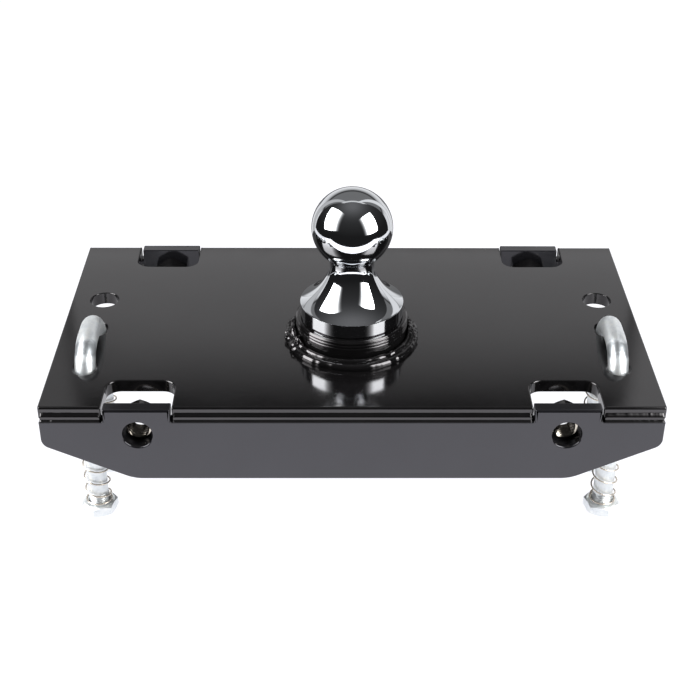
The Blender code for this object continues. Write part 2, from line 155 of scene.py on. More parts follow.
def inset(pts, d):
    """Loop moved to its left by d at each point, mitred."""
    out = []
    n = len(pts)
    for i in range(n):
        p0, p1, p2 = Vector(pts[i - 1]), Vector(pts[i]), Vector(pts[(i + 1) % n])
        e1, e2 = (p1 - p0), (p2 - p1)
        n1 = Vector((-e1.y, e1.x)).normalized()
        n2 = Vector((-e2.y, e2.x)).normalized()
        q = p1 + (n1 + n2) * (d[i] / (1.0 + n1.dot(n2)))
        out.append((q.x, q.y))
    return out


def slab(loops, lo, hi, plane="XY", segs=4):
    """Plate with holes and rounded arrises. loops: [(points, radius at lo, radius at hi), ...], outline first.
    A radius is a number or a function of the point. Returns the mesh and a true normal for each of its points,
    so flats stay flat and arrises stay round."""
    bm = bmesh.new()
    normals = []

    def place(p, h):
        return (p[0], p[1], h) if plane == "XY" else (p[0], h, p[1])

    caps_lo, caps_hi = [], []
    for i, (pts, r_lo, r_hi) in enumerate(loops):
        if (area(pts) > 0.0) != (i == 0):
            pts = list(reversed(pts))
        n = len(pts)
        outward = []
        for k in range(n):
            e1 = Vector(pts[k]) - Vector(pts[k - 1])
            e2 = Vector(pts[(k + 1) % n]) - Vector(pts[k])
            left = Vector((-e1.y, e1.x)).normalized() + Vector((-e2.y, e2.x)).normalized()
            outward.append(-left.normalized())
        at_lo = [r_lo(p) if callable(r_lo) else r_lo for p in pts]
        at_hi = [r_hi(p) if callable(r_hi) else r_hi for p in pts]
        rings = []
        for k in range(segs, -1, -1):
            a = math.pi / 2 * k / segs
            rings.append(([r * (1 - math.cos(a)) for r in at_lo], [lo + r - r * math.sin(a) for r in at_lo], -a))
        for k in range(segs + 1):
            a = math.pi / 2 * k / segs
            rings.append(([r * (1 - math.cos(a)) for r in at_hi], [hi - r + r * math.sin(a) for r in at_hi], a))
        rows = []
        for d, h, a in rings:
            q = inset(pts, d)
            rows.append(([bm.verts.new(place(p, t)) for p, t in zip(q, h)], q))
            for o in outward:
                normals.append(Vector(place((o.x * math.cos(a), o.y * math.cos(a)), math.sin(a))).normalized())
        for (a, _), (b, _) in zip(rows, rows[1:]):
            for k in range(n):
                m = (k + 1) % n
                bm.faces.new((a[k], a[m], b[m], b[k]))
        caps_lo.append(rows[0])
        caps_hi.append(rows[-1])
    for caps in (caps_lo, caps_hi):
        verts = [v for row, _ in caps for v in row]
        tris = tessellate_polygon([[Vector((p[0], p[1], 0.0)) for p in q] for _, q in caps])
        for t in tris:
            try:
                bm.faces.new([verts[j] for j in t])
            except ValueError:
                pass
    return bm, normals


def braced(profile):
    """Adds a point close to each end of a long step in the profile, where it meets its neighbour at an angle."""
    out = []
    n = len(profile)
    closed = profile[0][0] > 1e-6
    for i in range(n):
        a = Vector(profile[i])
        out.append((a.x, a.y))
        if i == n - 1 and not closed:
            break
        b = Vector(profile[(i + 1) % n])
        e = b - a
        if e.length < 0.5:
            continue
        before = a - Vector(profile[i - 1]) if (i or closed) else e
        after = Vector(profile[(i + 2) % n]) - b if (i + 2 < n or closed) else e
        if before.length > 1e-9 and e.angle(before) > math.radians(5.0):
            q = a + e.normalized() * 0.05
            out.append((q.x, q.y))
        if after.length > 1e-9 and e.angle(after) > math.radians(5.0):
            q = b - e.normalized() * 0.05
            out.append((q.x, q.y))
    return out


def turned(profile, n=128, axis=(0.0, 0.0), shape=None):
    """Closed body of revolution about Z from a closed (r, z) loop, or an open one with poles."""
    profile = braced(profile)
    bm = bmesh.new()
    rings = []
    for i, (r, z) in enumerate(profile):
        if r < 1e-6:
            rings.append([bm.verts.new((axis[0], axis[1], z))])
            continue
        ring = []
        for k in range(n):
            a = 2 * math.pi * k / n
            rr, zz = (r, z) if shape is None else shape(i, a, r, z)
            ring.append(bm.verts.new((axis[0] + rr * math.cos(a), axis[1] + rr * math.sin(a), zz)))
        rings.append(ring)
    pairs = [(i, i + 1) for i in range(len(rings) - 1)]
    if len(rings[0]) > 1:
        pairs.append((len(rings) - 1, 0))
    for i, j in pairs:
        a, b = rings[i], rings[j]
        for k in range(n):
            m = (k + 1) % n
            if len(a) == 1:
                bm.faces.new((a[0], b[m], b[k]))
            elif len(b) == 1:
                bm.faces.new((a[k], a[m], b[0]))
            else:
                bm.faces.new((a[k], a[m], b[m], b[k]))
    return bm


def sweep(path, radius, sides, cap=True):
    """Round bar along a path in one plane or a coil; radius may be a function (index, angle)."""
    bm = bmesh.new()
    pts = [Vector(p) for p in path]
    rings = []
    ref = None
    for i, p in enumerate(pts):
        if i == 0:
            t = (pts[1] - pts[0]).normalized()
        elif i == len(pts) - 1:
            t = (pts[-1] - pts[-2]).normalized()
        else:
            t = ((pts[i + 1] - p).normalized() + (p - pts[i - 1]).normalized()).normalized()
        if ref is None:
            ref = t.orthogonal().normalized()
        ref = (ref - t * ref.dot(t)).normalized()
        side = t.cross(ref)
        ring = []
        for k in range(sides):
            a = 2 * math.pi * k / sides
            r = radius(i, a) if callable(radius) else radius
            ring.append(bm.verts.new(p + ref * (r * math.cos(a)) + side * (r * math.sin(a))))
        rings.append(ring)
    for a, b in zip(rings, rings[1:]):
        for k in range(sides):
            m = (k + 1) % sides
            bm.faces.new((a[k], a[m], b[m], b[k]))
    if cap:
        for ring, p in ((rings[0], pts[0]), (rings[-1], pts[-1])):
            c = bm.verts.new(p)
            for k in range(sides):
                bm.faces.new((ring[k], ring[(k + 1) % sides], c))
    return bm


def move(bm, matrix):
    bmesh.ops.transform(bm, matrix=matrix, verts=bm.verts)
    return bm


def fbm(x, y, z, scale, octaves=3):
    p = Vector((x, y, z)) * scale
    v, amp, total = 0.0, 1.0, 0.0
    for _ in range(octaves):
        v += amp * noise.noise(p)
        total += amp
        amp *= 0.5
        p = p * 2.03 + Vector((3.1, 7.7, 1.3))
    return v / total


def hex_nut(af, h, bore, pitch=0.0, depth=0.0, per_side=14, rim=0.4):
    """Hexagon nut on Z from 0 to h, 30 degree chamfers on both faces, threaded bore."""
    rc = af / math.sqrt(3.0)
    corners = [Vector((rc * math.cos(math.pi * k / 3), rc * math.sin(math.pi * k / 3))) for k in range(6)]
    outer = []
    for k in range(6):
        for t in range(per_side):
            outer.append(corners[k].lerp(corners[(k + 1) % 6], t / per_side))
    m = len(outer)
    flat_r = af / 2.0 * 0.96
    slope = math.tan(math.radians(30.0))
    bm = bmesh.new()
    levels = []

    def ring(points):
        levels.append([bm.verts.new(p) for p in points])

    ring([(*(p * (flat_r / p.length)), 0.0) for p in outer])
    ring([(p.x, p.y, (p.length - flat_r) * slope) for p in outer])
    ring([(p.x, p.y, h - (p.length - flat_r) * slope) for p in outer])
    ring([(*(p * (flat_r / p.length)), h) for p in outer])
    lead = bore + depth + 0.35
    angles = [math.atan2(p.y, p.x) for p in outer]
    ring([(lead * math.cos(a), lead * math.sin(a), h) for a in angles])
    if pitch > 0.0:
        steps = max(8, int(h / (pitch / 7.0)))
        for s in range(steps + 1):
            z = h - rim - (h - 2 * rim) * s / steps
            pts = []
            for a in angles:
                u = ((z / pitch - a / (2 * math.pi)) % 1.0)
                w = abs(2 * u - 1.0)
                r = bore + depth * min(1.0, max(0.0, (w * 1.25 - 0.12)))
                pts.append((r * math.cos(a), r * math.sin(a), z))
            ring(pts)
    else:
        ring([(bore * math.cos(a), bore * math.sin(a), h - rim) for a in angles])
        ring([(bore * math.cos(a), bore * math.sin(a), rim) for a in angles])
    ring([(lead * math.cos(a), lead * math.sin(a), 0.0) for a in angles])
    for a, b in zip(levels, levels[1:] + levels[:1]):
        for k in range(m):
            j = (k + 1) % m
            bm.faces.new((a[k], a[j], b[j], b[k]))
    return bm


def coil(mean_r, wire_r, z0, z1, active, centre, per_turn=40, sides=12, phase=0.0, hand=1.0):
    lo, hi = z0 + wire_r, z1 - wire_r
    rise = 2.0 * wire_r * 1.05
    total = active + 2.0
    pitch = (hi - lo - 2.0 * rise) / active
    steps = int(total * per_turn)
    path = []
    for i in range(steps + 1):
        t = total * i / steps
        if t < 1.0:
            z = lo + rise * t
        elif t > total - 1.0:
            z = hi - rise * (total - t)
        else:
            z = lo + rise + pitch * (t - 1.0)
        a = hand * 2 * math.pi * t + phase
        path.append((centre[0] + mean_r * math.cos(a), centre[1] + mean_r * math.sin(a), z))
    return sweep(path, wire_r, sides)


# ------------------------------------------------------------------ materials
class Shader:
    def __init__(self, name):
        self.mat = bpy.data.materials.new(name)
        self.mat.use_nodes = True
        self.t = self.mat.node_tree
        self.b = self.t.nodes["Principled BSDF"]
        self.co = self.t.nodes.new("ShaderNodeTexCoord").outputs["Object"]

    def set(self, **kw):
        for k, v in kw.items():
            s = self.b.inputs[k.replace("_", " ")]
            s.default_value = (*v, 1.0) if isinstance(v, tuple) and len(v) == 3 else v
        return self

    def link(self, a, b):
        self.t.links.new(a, b)

    def mapping(self, scale):
        n = self.t.nodes.new("ShaderNodeMapping")
        n.inputs["Scale"].default_value = scale
        self.link(self.co, n.inputs["Vector"])
        return n.outputs["Vector"]

    def noise(self, scale, detail=3.0, rough=0.55, stretch=None, lac=2.0):
        n = self.t.nodes.new("ShaderNodeTexNoise")
        n.inputs["Scale"].default_value = scale
        n.inputs["Detail"].default_value = detail
        n.inputs["Roughness"].default_value = rough
        n.inputs["Lacunarity"].default_value = lac
        self.link(self.mapping(stretch) if stretch else self.co, n.inputs["Vector"])
        return n.outputs["Fac"]

    def voronoi(self, scale, randomness=1.0):
        n = self.t.nodes.new("ShaderNodeTexVoronoi")
        n.inputs["Scale"].default_value = scale
        n.inputs["Randomness"].default_value = randomness
        self.link(self.co, n.inputs["Vector"])
        return n.outputs["Distance"]

    def ramp(self, fac, stops):
        n = self.t.nodes.new("ShaderNodeValToRGB")
        e = n.color_ramp.elements
        while len(e) < len(stops):
            e.new(0.5)
        for i, (p, c) in enumerate(stops):
            e[i].position = p
            e[i].color = (c, c, c, 1.0) if isinstance(c, (int, float)) else (*c, 1.0)
        self.link(fac, n.inputs["Fac"])
        return n.outputs["Color"]

    def span(self, fac, a, b, lo, hi):
        n = self.t.nodes.new("ShaderNodeMapRange")
        n.inputs["From Min"].default_value = a
        n.inputs["From Max"].default_value = b
        n.inputs["To Min"].default_value = lo
        n.inputs["To Max"].default_value = hi
        self.link(fac, n.inputs["Value"])
        return n.outputs["Result"]

    def math(self, op, a, b=None):
        n = self.t.nodes.new("ShaderNodeMath")
        n.operation = op
        for i, v in enumerate((a, b)):
            if v is None:
                continue
            if isinstance(v, (int, float)):
                n.inputs[i].default_value = v
            else:
                self.link(v, n.inputs[i])
        return n.outputs[0]

    def bump(self, height, strength, distance, after=None):
        n = self.t.nodes.new("ShaderNodeBump")
        n.inputs["Strength"].default_value = strength
        n.inputs["Distance"].default_value = distance
        self.link(height, n.inputs["Height"])
        if after is not None:
            self.link(after, n.inputs["Normal"])
        return n.outputs["Normal"]

    def done(self, normal=None, colour=None, rough=None):
        if normal is not None:
            self.link(normal, self.b.inputs["Normal"])
        if colour is not None:
            self.link(colour, self.b.inputs["Base Color"])
        if rough is not None:
            self.link(rough, self.b.inputs["Roughness"])
        return self.mat


def black_coat(name, peel=1.0, rough=(0.075, 0.12), base=0.003, nibs=True, tint=(1.0, 0.95, 1.0),
               gloss=(1.0, 0.97, 0.985)):
    """Gloss black powder coat with orange peel, uneven gloss and a few small nibs."""
    s = Shader(name)
    s.set(Metallic=0.0, IOR=1.5, Specular_Tint=gloss)
    tone = s.ramp(s.noise(26.0, 3.0), [(0.3, tuple(base * 0.8 * c for c in tint)),
                                       (0.7, tuple(base * 1.2 * c for c in tint))])
    r = s.span(s.noise(41.0, 4.0, 0.6), 0.3, 0.7, rough[0], rough[1])
    n = s.bump(s.noise(230.0, 2.0, 0.5), 0.22 * peel, 0.00006)
    n = s.bump(s.noise(1100.0, 2.0, 0.6), 0.32 * peel, 0.00002, n)
    if nibs:
        spot = s.span(s.voronoi(46.0), 0.0, 0.021, 1.0, 0.0)
        n = s.bump(spot, 0.5, 0.00008, n)
    return s.done(n, tone, r)


def zinc(name, streak=(1.0, 1.0, 0.05), rough=(0.2, 0.34), tint=1.0, warm=0.0, matt=0.8, dark_reflection_at=None):
    s = Shader(name)
    s.set(Metallic=matt)
    low, mid, high = ((0.50, 0.53, 0.55), (0.70, 0.73, 0.745), (0.79, 0.805, 0.785))
    low, mid, high = (tuple(tint * c * (1.0 - warm * k) for c, k in zip(t, (0.0, 0.5, 1.0)))
                      for t in (low, mid, high))
    stain_and_dark_reflection = s.span(s.noise(52.0, 4.0, 0.65), 0.54, 0.66, 1.0, 0.72)
    if dark_reflection_at is not None:
        # painted dark reflection: a darkened patch at a fixed height and depth on the front of the bend
        near = s.t.nodes.new("ShaderNodeVectorMath")
        near.operation = "DISTANCE"
        s.link(s.mapping((0.0, 1.0, 1.0)), near.inputs[0])
        near.inputs[1].default_value = dark_reflection_at
        jitter = s.math("MULTIPLY", s.noise(260.0, 4.0, 0.7), 0.009)
        dark_reflection_mask = s.span(s.math("ADD", near.outputs["Value"], jitter), 0.0085, 0.0125, 0.22, 1.0)
        stain_and_dark_reflection = s.math("MULTIPLY", stain_and_dark_reflection, dark_reflection_mask)
    tone = s.ramp(s.math("MULTIPLY", s.noise(210.0, 5.0, 0.7), stain_and_dark_reflection), [(0.1, tuple(0.55 * c for c in low)), (0.25, low), (0.46, mid), (0.7, high)])
    r = s.span(s.noise(160.0, 5.0, 0.65), 0.28, 0.72, rough[0], rough[1])
    n = s.bump(s.noise(900.0, 3.0, 0.6, streak), 0.22, 0.00004)
    n = s.bump(s.noise(2600.0, 2.0, 0.5), 0.12, 0.00001, n)
    return s.done(n, tone, r)


def chrome(name):
    s = Shader(name)
    s.set(Metallic=1.0)
    tone = s.ramp(s.noise(30.0, 3.0), [(0.3, (0.61, 0.63, 0.65)), (0.7, (0.66, 0.675, 0.695))])
    r = s.span(s.noise(75.0, 5.0, 0.6), 0.3, 0.7, 0.022, 0.055)
    n = s.bump(s.noise(300.0, 2.0, 0.5), 0.035, 0.00004)
    n = s.bump(s.noise(1500.0, 3.0, 0.6, (1.0, 1.0, 7.0)), 0.035, 0.000006, n)
    return s.done(n, tone, r)


def bare_steel(name):
    s = Shader(name)
    s.set(Metallic=1.0)
    tone = s.ramp(s.noise(220.0, 4.0), [(0.3, (0.17, 0.15, 0.125)), (0.7, (0.48, 0.45, 0.39))])
    r = s.span(s.noise(400.0, 4.0, 0.6), 0.3, 0.7, 0.08, 0.2)
    n = s.bump(s.noise(1600.0, 3.0, 0.6), 0.2, 0.00002)
    return s.done(n, tone, r)


BLACK = black_coat("black_gloss_coat")
BLACK_SIDE = black_coat("black_gloss_coat_sides", 1.15, (0.09, 0.15), 0.005, tint=(1.0, 0.99, 1.15),
                        gloss=(0.91, 0.90, 0.965))
BLACK_TUBE = black_coat("black_gloss_coat_tube", 0.6, (0.04, 0.08), 0.003, nibs=False)
WELD = black_coat("coated_weld_bead", 1.3, (0.04, 0.09), 0.003, nibs=False)
NUT_BLACK = black_coat("coated_rail_nut", 1.0, (0.1, 0.18), 0.005, nibs=False)
ZINC = zinc("bright_zinc_bar", rough=(0.34, 0.48), tint=0.93, matt=0.88,
            dark_reflection_at=(0.0, (CHAIN_Y - 21.0) * MM, (TOP + 12.0) * MM))
ZINC_NUT = zinc("bright_zinc_nut", (1.0, 1.0, 1.0), (0.30, 0.44), 1.08, matt=0.7)
ZINC_WIRE = zinc("bright_zinc_wire", (1.0, 1.0, 1.0), (0.2, 0.32), 0.86, warm=0.24)
CHROME = chrome("polished_chrome")
STEEL = bare_steel("bare_cut_thread")

# ------------------------------------------------------------------ top plate
corner = []
for x, y, r in ((-HX, -HY, 1.5), (-NOTCH_X1, -HY, 0.9), (-NOTCH_X1, -NOTCH_Y, 10.0), (-NOTCH_X0, -NOTCH_Y, 10.0),
                (-NOTCH_X0, -HY, 0.9), (NOTCH_X0, -HY, 0.9), (NOTCH_X0, -NOTCH_Y, 10.0),
                (NOTCH_X1, -NOTCH_Y, 10.0), (NOTCH_X1, -HY, 0.9), (HX, -HY, 1.5), (HX, HY, 1.5),
                (NOTCH_X1, HY, 0.9), (NOTCH_X1, NOTCH_Y, 10.0), (NOTCH_X0, NOTCH_Y, 10.0), (NOTCH_X0, HY, 0.9),
                (-NOTCH_X0, HY, 0.9), (-NOTCH_X0, NOTCH_Y, 10.0), (-NOTCH_X1, NOTCH_Y, 10.0),
                (-NOTCH_X1, HY, 0.9), (-HX, HY, 1.5)):
    corner.append((x, y, r))
loops = [(rounded(corner), 0.8, lambda p: 1.8 if abs(p[1]) > HY - 0.3 else 1.1),
         (circle(0.0, BALL_Y, TUBE_R + 0.3, 128), 0.2, 0.2)]
for sx in (-1.0, 1.0):
    f, r = CHAIN_Y - CHAIN_HALF, CHAIN_Y + CHAIN_HALF
    loops.append((stadium(sx * CHAIN_X, f - 8.7, f + 11.9, 17.4), 0.4, 0.6))
    loops.append((stadium(sx * CHAIN_X, r - 11.9, r + 8.7, 17.4), 0.4, 0.6))
    loops.append((circle(sx * CHAIN_X, 30.0, 11.0), 0.4, 0.6))
bm, true = slab(loops, UNDER, TOP)
make("top_plate_coated", bm, BLACK, replace=["top_plate"], normals=true)

# ---------------------------------------------------------------- side plates
for name, sy in (("front", -1.0), ("rear", 1.0)):
    top = UNDER - 0.3
    loop = [(-154.8, SIDE_BOTTOM, 30.0), (154.8, SIDE_BOTTOM, 30.0), (SIDE_HX, -9.2, 8.0), (SIDE_HX, top, 0.9),
            (173.0, top, 0.9), (173.0, TAB_TOP, 0.8), (126.0, TAB_TOP, 0.8), (126.0, top, 0.9),
            (-126.0, top, 0.9), (-126.0, TAB_TOP, 0.8), (-173.0, TAB_TOP, 0.8), (-173.0, top, 0.9),
            (-SIDE_HX, top, 0.9), (-SIDE_HX, -9.2, 8.0)]
    outline = rounded(loop)
    y0, y1 = sorted((sy * SIDE_Y, sy * SIDE_IN))

    def outer_arris(p):
        if p[1] > top + 0.5:
            return 1.9
        return 0.5 if p[1] > top - 0.5 else 1.2

    r_lo, r_hi = (outer_arris, 0.7) if sy < 0 else (0.7, outer_arris)
    holes = [(circle(sx * BOLT_X, 0.0, 10.4, 72), *((1.1, 0.3) if sy < 0 else (0.3, 1.1))) for sx in (-1, 1)]
    bm, true = slab([(outline, r_lo, r_hi)] + holes, y0, y1, "XZ")
    make(name + "_side_plate_coated", bm, BLACK_SIDE, replace=[name + "_side_plate"],
         normals=true)
    for side, sx in (("left", -1.0), ("right", 1.0)):
        node = "weld_nut_%s_%s" % (name, side)
        inner = sy * (SIDE_IN - 0.3)

        def seat(bm):
            move(bm, Matrix.Rotation(math.radians(90.0), 4, "Z"))
            move(bm, Matrix.Rotation(math.radians(90.0 * sy), 4, "X"))
            return move(bm, Matrix.Translation((sx * BOLT_X, inner, 0.0)))

        ob = make(node + "_coated", seat(hex_nut(25.0, 14.7, 7.2, 2.3, 1.25)), NUT_BLACK, replace=[node],
                  sharp=28.0)
        # the thread stays bare: its faces take the cut-steel material
        ob.data.materials.append(STEEL)
        axis = Vector((sx * BOLT_X, 0.0, 0.0)) * MM
        for p in ob.data.polygons:
            d = Vector((p.center.x - axis.x, 0.0, p.center.z))
            if d.length < 9.3 * MM:
                p.material_index = 1


# ----------------------------------------------------------------- seam welds
def seam(name, sy, x0, x1, seed):
    """Dressed fillet bead along the top plate's edge: a 45 degree face, a short upright foot, then a toe that
    runs out flush over the side plate's arris."""
    bm = bmesh.new()
    n = int((x1 - x0) / 0.6)
    rows = []
    for i in range(n + 1):
        x = x0 + (x1 - x0) * i / n
        edge = min(1.0, min(x - x0, x1 - x) / 0.9)
        grow = 0.86 + 0.14 * math.sqrt(max(0.0, 1 - (1 - edge) ** 2))
        rough = 0.35 + 1.3 * max(0.0, (abs(x) - 188.0) / 30.0)
        wob = rough * (0.36 * fbm(x, seed, 0.0, 0.05) + 0.34 * fbm(x, seed, 4.0, 0.33, 2))
        toe = max(-0.3, min(0.25, rough * 0.25 * fbm(x, seed, 11.0, 0.4, 2)))
        section = [(0.3, 4.4 + wob), (1.1, 5.15 + 0.6 * wob), (1.95, 5.95 + 0.3 * wob), (2.2, 6.3 + 0.2 * wob),
                   (2.28, 6.7), (2.3, 8.35 + toe), (2.2, 8.8 + toe), (2.5, 9.25 + toe), (3.2, 9.35 + 0.6 * toe),
                   (3.55, 9.6), (3.64, 9.8), (3.64, 10.05), (0.3, 10.05)]
        row = []
        for f, d in section:
            f = 0.3 + (f - 0.3) * (0.4 + 0.6 * grow)
            d = 10.05 - (10.05 - d) * grow
            row.append(bm.verts.new((x, sy * (HY + f), TOP - d)))
        rows.append(row)
    m = len(rows[0])
    for a, b in zip(rows, rows[1:]):
        for k in range(m):
            j = (k + 1) % m
            bm.faces.new((a[k], a[j], b[j], b[k]))
    bm.faces.new(rows[0])
    bm.faces.new(list(reversed(rows[-1])))
    return make(name + "_bead", bm, WELD, replace=[name], sharp=50.0)


for name, sy in (("front", -1.0), ("rear", 1.0)):
    for k, part in enumerate(("left", "middle", "right")):
        lo, hi = span("seam_weld_%s_%s" % (name, part))
        seam("seam_weld_%s_%s" % (name, part), sy, lo[0], hi[0], 17.0 * k + 5.0 * sy)

# -------------------------------------------------------------- receiver tube
R = TUBE_R
tt = tube_hi[2]
tb = tube_lo[2]
bore = 32.05
bore_z = TOP - 51.5
prof = [(bore, tb + 0.6), (bore + 0.6, tb), (R - 1.0, tb), (R, tb + 1.0), (R, bore_z - 8.0), (R, bore_z + 8.0)]
for k, zc in enumerate((tt - 6.4, tt - 4.1, tt - 1.7)):  # three turned rings with rounded shoulders
    for dz, dr in (() if k == 0 else ((-1.15, 0.8), (-1.0, 0.25))) + \
            ((-0.75, 0.0), (-0.1, 0.0), (0.3, 0.1), (0.6, 0.35), (0.78, 0.65), (1.0, 0.8)):
        prof.append((R - dr, zc + dz))
prof += [(R - 1.0, tt - 0.35), (R - 1.3, tt - 0.1), (R - 1.9, tt)]
prof += [(bore + 0.8, tt), (bore, tt - 0.8), (bore, bore_z + 8.0), (bore, bore_z - 8.0)]
tube = make("receiver_tube_coated", turned(prof, 160, (0.0, BALL_Y)), BLACK_TUBE, replace=["receiver_tube"],
            sharp=34.0)
drill = bpy.data.meshes.new("pin_bore_tool")  # the lock pin's bore, under the housing
bm = bmesh.new()
low = [bm.verts.new((-60.0 * MM, (BALL_Y + 6.6 * math.cos(2 * math.pi * k / 48)) * MM,
                     (bore_z + 6.6 * math.sin(2 * math.pi * k / 48)) * MM)) for k in range(48)]
high = [bm.verts.new((-20.0 * MM, v.co.y, v.co.z)) for v in low]
bm.faces.new(list(reversed(low)))
bm.faces.new(high)
for k in range(48):
    j = (k + 1) % 48
    bm.faces.new((low[k], low[j], high[j], high[k]))
bmesh.ops.recalc_face_normals(bm, faces=bm.faces)
bm.to_mesh(drill)
bm.free()
tool = bpy.data.objects.new("pin_bore_tool", drill)
bpy.context.scene.collection.objects.link(tool)
mod = tube.modifiers.new("bore", "BOOLEAN")
mod.operation = "DIFFERENCE"
mod.solver = "EXACT"
mod.object = tool
bpy.context.view_layer.update()
cut = bpy.data.meshes.new_from_object(tube.evaluated_get(bpy.context.evaluated_depsgraph_get()))
tube.modifiers.clear()
tube.data = cut
tube.data.set_sharp_from_angle(angle=math.radians(34.0))
bpy.data.objects.remove(tool, do_unlink=True)


# ---------------------------------------------------------------- collar weld
def ring_weld(name, node, up, scale, seed, big):
    """Two-pass fillet bead round the tube: section is the envelope of an upper and a lower pass."""
    base_z = TOP + 0.2 if up else UNDER - 0.2
    s = 1.0 if up else -1.0
    steps = 540
    bm = bmesh.new()
    rows = []
    for i in range(steps):
        a = 2 * math.pi * i / steps
        ca, sa = math.cos(a), math.sin(a)
        slow = fbm(ca * 4, sa * 4, seed, 0.5)
        mid1 = fbm(ca * 4, sa * 4, seed + 5, 0.9, 2)
        mid2 = fbm(ca * 4, sa * 4, seed + 31, 0.8, 3)
        lump = 0.0
        for centre, width, gain in big:
            d = math.atan2(math.sin(a - centre), math.cos(a - centre)) / width
            lump += gain * math.exp(-d * d)
        k1 = scale * (1.0 + 0.20 * mid1 + 0.10 * slow)
        k2 = scale * (0.98 + 0.20 * mid2 + 0.12 * slow) + 0.03 * lump
        f = max(0.0, -sa)  # the front of the bead was laid flatter and wider than its sides
        passes = (((1.7 + 1.4 * f) * k1, (5.0 - 1.2 * f) * k1 + 2.4 * lump, 2.0 * k1 + 0.5 * lump),
                  ((4.4 + 2.6 * f) * k2, (1.7 - 0.6 * f) * k2 + 1.3 * lump, (3.0 + 0.5 * f) * k2 + 0.2 * lump))
        row = []
        for j in range(25):
            phi = math.radians(84.0) * (1 - j / 24.0)
            c, z = math.cos(phi), math.sin(phi)
            reach = []
            for px, pz, pr in passes:
                along = c * px + z * pz
                disc = along * along - px * px - pz * pz + pr * pr
                reach.append(along + math.sqrt(disc) if disc > 0 else 0.0)
            hi, lo = max(reach), min(reach)
            t = hi + 0.25 * math.exp(-(hi - lo) / 0.35)
            t *= 1.0 + 0.006 * fbm(ca * 40, sa * 40, j * 0.22 + seed, 0.22, 2)
            t *= 1.0 + 0.13 * min(1.2, lump) * fbm(ca * 40, sa * 40, j * 0.35 + seed, 0.7, 3)
            t *= 1.0 + 0.0022 * math.sin(a * 60.0 + 9.0 * slow + 0.9 * math.sin(phi * 3.0))
            row.append((R + 0.25 + t * c, t * z if j < 24 else 0.0))
        row.append((R + 0.25, 0.0))
        rows.append([bm.verts.new((r * ca, BALL_Y + r * sa, base_z + s * z)) for r, z in row])
    m = len(rows[0])
    for i in range(steps):
        a, b = rows[i], rows[(i + 1) % steps]
        for k in range(m):
            j = (k + 1) % m
            bm.faces.new((a[k], a[j], b[j], b[k]))
    return make(name, bm, WELD, replace=[node], sharp=60.0)


ring_weld("collar_weld_upper_bead", "collar_weld_upper", True, 1.0, 2.0,
          [(math.radians(208), 0.07, 1.5), (math.radians(188), 0.13, 1.3), (math.radians(168), 0.12, 0.9),
           (math.radians(352), 0.16, 1.3), (math.radians(8), 0.12, 0.9)])
ring_weld("collar_weld_lower_bead", "collar_weld_lower", False, 0.86, 21.0, [(1.2, 0.2, 0.5)])

# ----------------------------------------------------------------- hitch ball
BR = 29.37
BZ = ball_hi[2] - BR
NECK_R, NECK_Z = 16.3, TOP + 61.0
RIM_R, RIM_Z = 38.1, TOP + 29.7
SEAT_Z = tube_hi[2] + 0.3
PIN_Z = TOP - 51.5
pts = [(0.0, BZ + BR)]
join = math.asin((NECK_R + 1.0) / BR)
for k in range(1, 73):
    a = (math.pi - join) * k / 72
    pts.append((BR * math.sin(a), BZ + BR * math.cos(a)))
zj = pts[-1][1]
for k in range(1, 7):
    t = k / 6.0
    pts.append((NECK_R + 0.7 * (1 - t) ** 2, zj - 0.5 - (zj - 0.5 - NECK_Z) * t))
# flare: short fillet off the neck, then one hollow arc that steepens to 64 degrees off the vertical
r, z = NECK_R, NECK_Z
for count, ang0, ang1, length in ((8, 0.0, 10.0, 2.7), (56, 10.0, 64.0, 39.5 * math.radians(54.0))):
    for k in range(count):
        a = math.radians(ang0 + (ang1 - ang0) * (k + 0.5) / count)
        r += math.sin(a) * length / count
        z -= math.cos(a) * length / count
        pts.append((min(r, RIM_R - 0.12), z))
pts += [(RIM_R - 0.03, RIM_Z - 0.08), (RIM_R, RIM_Z - 0.2), (RIM_R, SEAT_Z + 1.6), (RIM_R - 0.15, SEAT_Z + 1.35),
        (RIM_R - 0.85, SEAT_Z + 1.15), (RIM_R - 1.0, SEAT_Z + 0.5), (RIM_R - 1.3, SEAT_Z), (31.75, SEAT_Z),
        (31.75, PIN_Z + 7.4), (31.4, PIN_Z + 7.0), (25.6, PIN_Z + 6.1), (25.0, PIN_Z + 5.4), (25.0, PIN_Z - 5.4),
        (25.6, PIN_Z - 6.1), (31.4, PIN_Z - 7.0), (31.75, PIN_Z - 7.4), (31.75, ball_lo[2] + 4.0),
        (27.75, ball_lo[2]), (0.0, ball_lo[2])]
make("hitch_ball_chromed", turned(pts, 160, (0.0, BALL_Y)), CHROME, body="ball", replace=["hitch_ball"],
     sharp=32.0)

